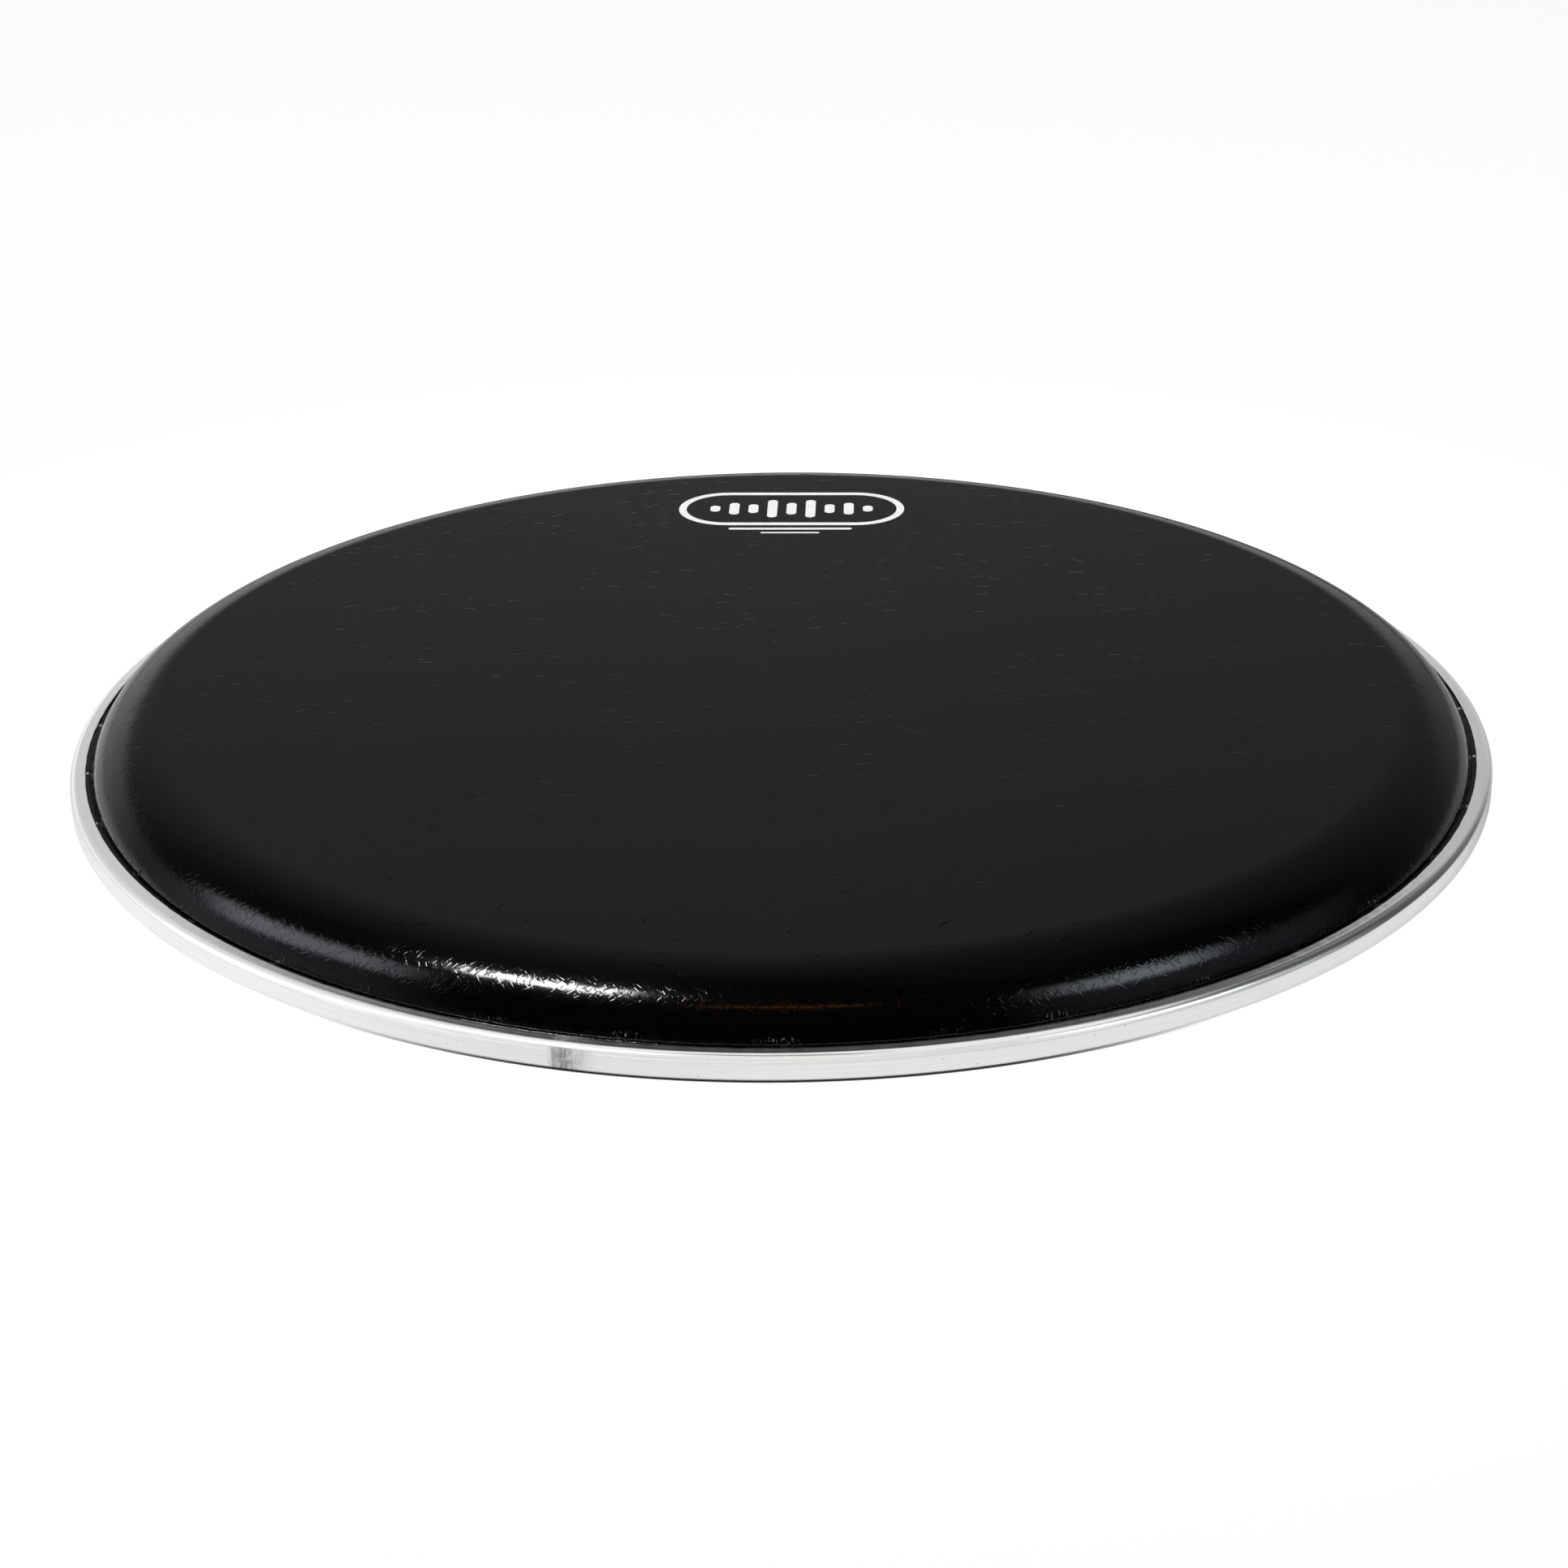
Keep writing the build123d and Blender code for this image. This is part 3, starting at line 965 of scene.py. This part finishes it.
def sky_angles(n, direction):
    """Azimuth and elevation of a direction, each from 0 to 1. An azimuth of 0 is the camera's side, and
    0.5 is behind the head."""
    x, y, z = n.split(direction)
    azimuth = n.math("MULTIPLY_ADD", n.math("ARCTAN2", x, y), 1 / TAU, 0.5)
    elevation = n.times(n.math("ARCSINE", z), 2 / math.pi)
    return azimuth, elevation


def towards(from_right, elevation):
    """A unit direction, in degrees, its azimuth counted from the right towards the back."""
    a, e = math.radians(from_right), math.radians(elevation)
    return Vector((math.cos(e) * math.cos(a), math.cos(e) * math.sin(a), math.sin(e)))


def long_lamp(n, direction, ends, full, fade, half_width, soften, colour):
    """The glow of a long soft lamp that lies across the sky between two directions. full and fade are
    the angles from its middle where it's still whole and where it has gone."""
    a, b = towards(*ends[0]), towards(*ends[1])
    pole = a.cross(b).normalized()
    middle = (a + b).normalized()
    tangent = pole.cross(middle)

    def dot(axis):
        return n.add("ShaderNodeVectorMath", {"operation": "DOT_PRODUCT"}, {0: direction, 1: axis}, 1)

    def off(axis):
        return n.math("ABSOLUTE", n.math("ARCSINE", dot(axis)))

    across = n.ramp(off(pole), math.radians(half_width + soften), math.radians(half_width - soften))
    along = n.ramp(off(tangent), math.radians(fade), math.radians(full))
    facing = n.math("GREATER_THAN", dot(middle), 0.0)
    mask = n.times(n.times(across, along), facing)
    return n.add("ShaderNodeVectorMath", {"operation": "SCALE"}, {0: colour, "Scale": mask})


def at(degrees_from_back):
    """A ramp position for an azimuth counted from behind the head, positive to the right."""
    return 0.5 + degrees_from_back / 360


# Long lamps that the film mirrors: both ends as (azimuth from the right, elevation), the angles from
# the middle where each is whole and gone, its half width and softening, all in degrees, and its colour
# times its radiance. A bright lamp and its dim skirt on each side, then a warm line in front.
LONG_LAMPS = [
    ([(169, 23), (-165, 40)], 8, 23, 7.0, 3.5, (1.95, 2.05, 2.2)),
    ([(160, 5), (-150, 24)], 14, 34, 11.0, 5.0, (0.17, 0.19, 0.22)),
    ([(-41, 43), (-12, 32)], 2, 18, 6.0, 3.5, (2.7, 3.0, 3.2)),
    ([(-50, 24), (8, 14)], 14, 36, 11.0, 5.0, (0.15, 0.18, 0.2)),
    ([(-113, 59.3), (-67, 59.3)], 6, 13, 0.8, 0.5, (1.3, 0.55, 0.1)),
]


def studio():
    """The dim room that the film mirrors: a pale backdrop behind the head, black overhead and on the
    camera's side. The camera itself sees plain white."""
    world = bpy.data.worlds.new("studio")
    bpy.context.scene.world = world
    world.use_nodes = True
    n = Nodes(world.node_tree)
    direction = view_direction(n, n.add("ShaderNodeTexCoord", None, None, 0))
    azimuth, elevation = sky_angles(n, direction)
    sideways = ramp_of(n, azimuth, [(at(-110), 0.0), (at(-80), 0.1), (at(-60), 0.22), (at(-40), 0.68),
                                    (at(-20), 0.96), (at(0), 1.0), (at(20), 0.75), (at(40), 0.6),
                                    (at(60), 0.38), (at(80), 0.02), (at(110), 0.0)])
    upward = ramp_of(n, elevation, [(0.0, 0.16), (0.25, 0.14), (0.6, 0.13), (0.73, 0.11), (0.8, 0.09),
                                    (0.87, 0.06), (0.93, 0.025), (1.0, 0.004)])
    blended = n.mix_colour(n.ramp(elevation, 0.55, 0.9), sideways, grey(0.6))
    in_front = n.ramp(n.math("ABSOLUTE", n.math("SUBTRACT", azimuth, 0.5)), 0.36, 0.26)
    base = n.times(n.times(upward, blended), in_front)
    horizon = ramp_of(n, azimuth, [(at(-60), 0.1), (at(-25), 0.33), (at(0), 0.5), (at(12), 0.36),
                                   (at(25), 0.08), (at(50), 0.0)])
    horizon = n.times(horizon, n.ramp(elevation, 0.2, 0.12))
    total = n.math("ADD", base, horizon)
    for lamp in LONG_LAMPS:
        glow = long_lamp(n, direction, *lamp)
        total = n.add("ShaderNodeVectorMath", {"operation": "ADD"}, {0: total, 1: glow})
    by_camera = n.add("ShaderNodeLightPath")
    total = n.mix_colour(by_camera, total, grey(1.0))
    background = n.add("ShaderNodeBackground", None, {"Color": total})
    n.add("ShaderNodeOutputWorld", None, {"Surface": background})


def metal_dome_mesh():
    """A hemisphere over the head, its foot running in across the table to the hoop."""
    rows, columns = 24, 96
    heights = np.linspace(0, math.pi / 2 * 0.98, rows)
    angles = TAU * np.arange(columns) / columns
    rings = [(radius, DOME_FOOT) for radius in ((HOOP_OUTER - 1.5) * MM, TABLE_WHOLE, TABLE_EDGE)]
    rings += [(DOME_RADIUS * math.cos(h), DOME_RADIUS * math.sin(h)) for h in heights]
    vertices = [(r * math.cos(a), r * math.sin(a), z) for r, z in rings for a in angles]
    faces = []
    for i in range(len(rings) - 1):
        for j in range(columns):
            k = (j + 1) % columns
            faces.append([i * columns + j, i * columns + k, (i + 1) * columns + k, (i + 1) * columns + j])
    faces.append([(len(rings) - 1) * columns + j for j in range(columns)])
    mesh = bpy.data.meshes.new("metal_dome")
    mesh.from_pydata(vertices, [], faces)
    return mesh


def metal_dome_material():
    """The glow that the metal mirrors: a pale tent, dark behind the head and to its right, and a table
    with a painted contact shadow, dark only where the hoop touches it in front."""
    material, n = new_material("metal_dome_glow")
    place = n.add("ShaderNodeTexCoord", None, None, 3)
    direction = view_direction(n, n.add("ShaderNodeVectorMath", {"operation": "NORMALIZE"}, {0: place}))
    azimuth, elevation = sky_angles(n, direction)
    low_tent = ramp_of(n, azimuth, [(0.0, 0.8), (at(-100), 0.9), (at(-70), 0.85), (at(-45), 0.6),
                                    (at(-15), 0.45), (at(10), 0.4), (at(35), 0.4), (at(50), 0.1),
                                    (at(70), 0.05), (at(88), 0.1), (at(97), 0.27), (at(115), 0.5),
                                    (at(135), 0.75), (1.0, 0.8)])
    tent = n.mix_colour(n.ramp(elevation, 0.58, 0.7), low_tent, grey(0.85))
    behind = n.times(n.ramp(azimuth, at(-32), at(-12)), n.ramp(azimuth, at(50), at(35)))
    dark_band = n.times(n.ramp(elevation, 0.345, 0.385), n.ramp(elevation, 0.7, 0.6))
    tent = n.mix_colour(n.times(behind, dark_band), tent, grey(0.03))

    x, y, _ = n.split(place)
    radial = n.from_axis(x, y)
    round_table = ramp_of(n, azimuth, [(0.0, 1.0), (at(-160), 0.85), (at(-140), 0.95), (at(-120), 0.85),
                                       (at(-100), 0.5), (at(-80), 0.6), (at(0), 0.8), (at(80), 0.6),
                                       (at(100), 0.3), (at(120), 0.9), (1.0, 1.0)])
    table = n.times(n.ramp(radial, TABLE_GONE, TABLE_WHOLE, 0.0, TABLE_GLOW), round_table)
    # Painted contact shadow on the mirrored table, in front only
    from_back = n.math("ABSOLUTE", n.math("SUBTRACT", azimuth, 0.5))
    in_front = n.ramp(from_back, 0.5 - CONTACT_SHADOW_GONE / 360, 0.5 - CONTACT_SHADOW_FULL / 360)
    painted_contact_shadow = n.ramp(radial, (HOOP_OUTER + 0.7) * MM, (HOOP_OUTER + 0.5) * MM)
    table = n.times(table, n.math("SUBTRACT", 1.0, n.times(painted_contact_shadow, in_front)))

    level = n.mix_colour(n.math("GREATER_THAN", radial, TABLE_EDGE), table, tent)
    glow = n.add("ShaderNodeEmission", None, {"Strength": level})
    clear = n.add("ShaderNodeBsdfTransparent")
    both = n.add("ShaderNodeAddShader", None, {0: clear, 1: glow})
    n.add("ShaderNodeOutputMaterial", None, {"Surface": both})
    return material


def metal_dome(receivers):
    """A pale tent and a glowing table top that only the metal sees."""
    mesh = metal_dome_mesh()
    mesh.materials.append(metal_dome_material())
    dome = bpy.data.objects.new("metal_dome", mesh)
    bpy.context.scene.collection.objects.link(dome)
    dome.visible_camera = False
    dome.visible_shadow = False
    seen_by = bpy.data.collections.new("metal_dome_receivers")
    for piece in receivers:
        seen_by.objects.link(piece)
    dome.light_linking.receiver_collection = seen_by


def camera():
    """The view of the head: elevation, distance, roll and crop."""
    elevation, distance, roll = math.radians(23.38), 0.949, math.radians(0.637)
    data = bpy.data.cameras.new("camera")
    data.lens, data.sensor_width = 71.42, 36.0
    data.shift_x, data.shift_y = 0.0022, -0.0308
    data.clip_start = 0.01
    rig = bpy.data.objects.new("camera", data)
    bpy.context.scene.collection.objects.link(rig)
    place = turned((0, -distance * math.cos(elevation), distance * math.sin(elevation)))
    facing = place.to_track_quat("Z", "Y").to_matrix()
    rig.matrix_world = Matrix.Translation(place) @ (facing @ Matrix.Rotation(-roll, 3, "Z")).to_4x4()
    bpy.context.scene.camera = rig


floor()
studio()
softbox("key_softbox", (-0.88, -0.54, 1.83), (0.66, 0.26), 30.0, (0.8, -0.56, 0.22))
softbox("overhead_fill", (0, 0, 2.2), (2.4, 2.4), 2.6, aim=(0, 0, 0), glossy=False)
METAL_PIECES = ("hoop_channel_ring", "hoop_weld_bead", "insert_ring_strip")
metal_dome([bpy.data.objects[name] for name in METAL_PIECES])
camera()
bpy.context.scene.view_settings.view_transform = "Standard"
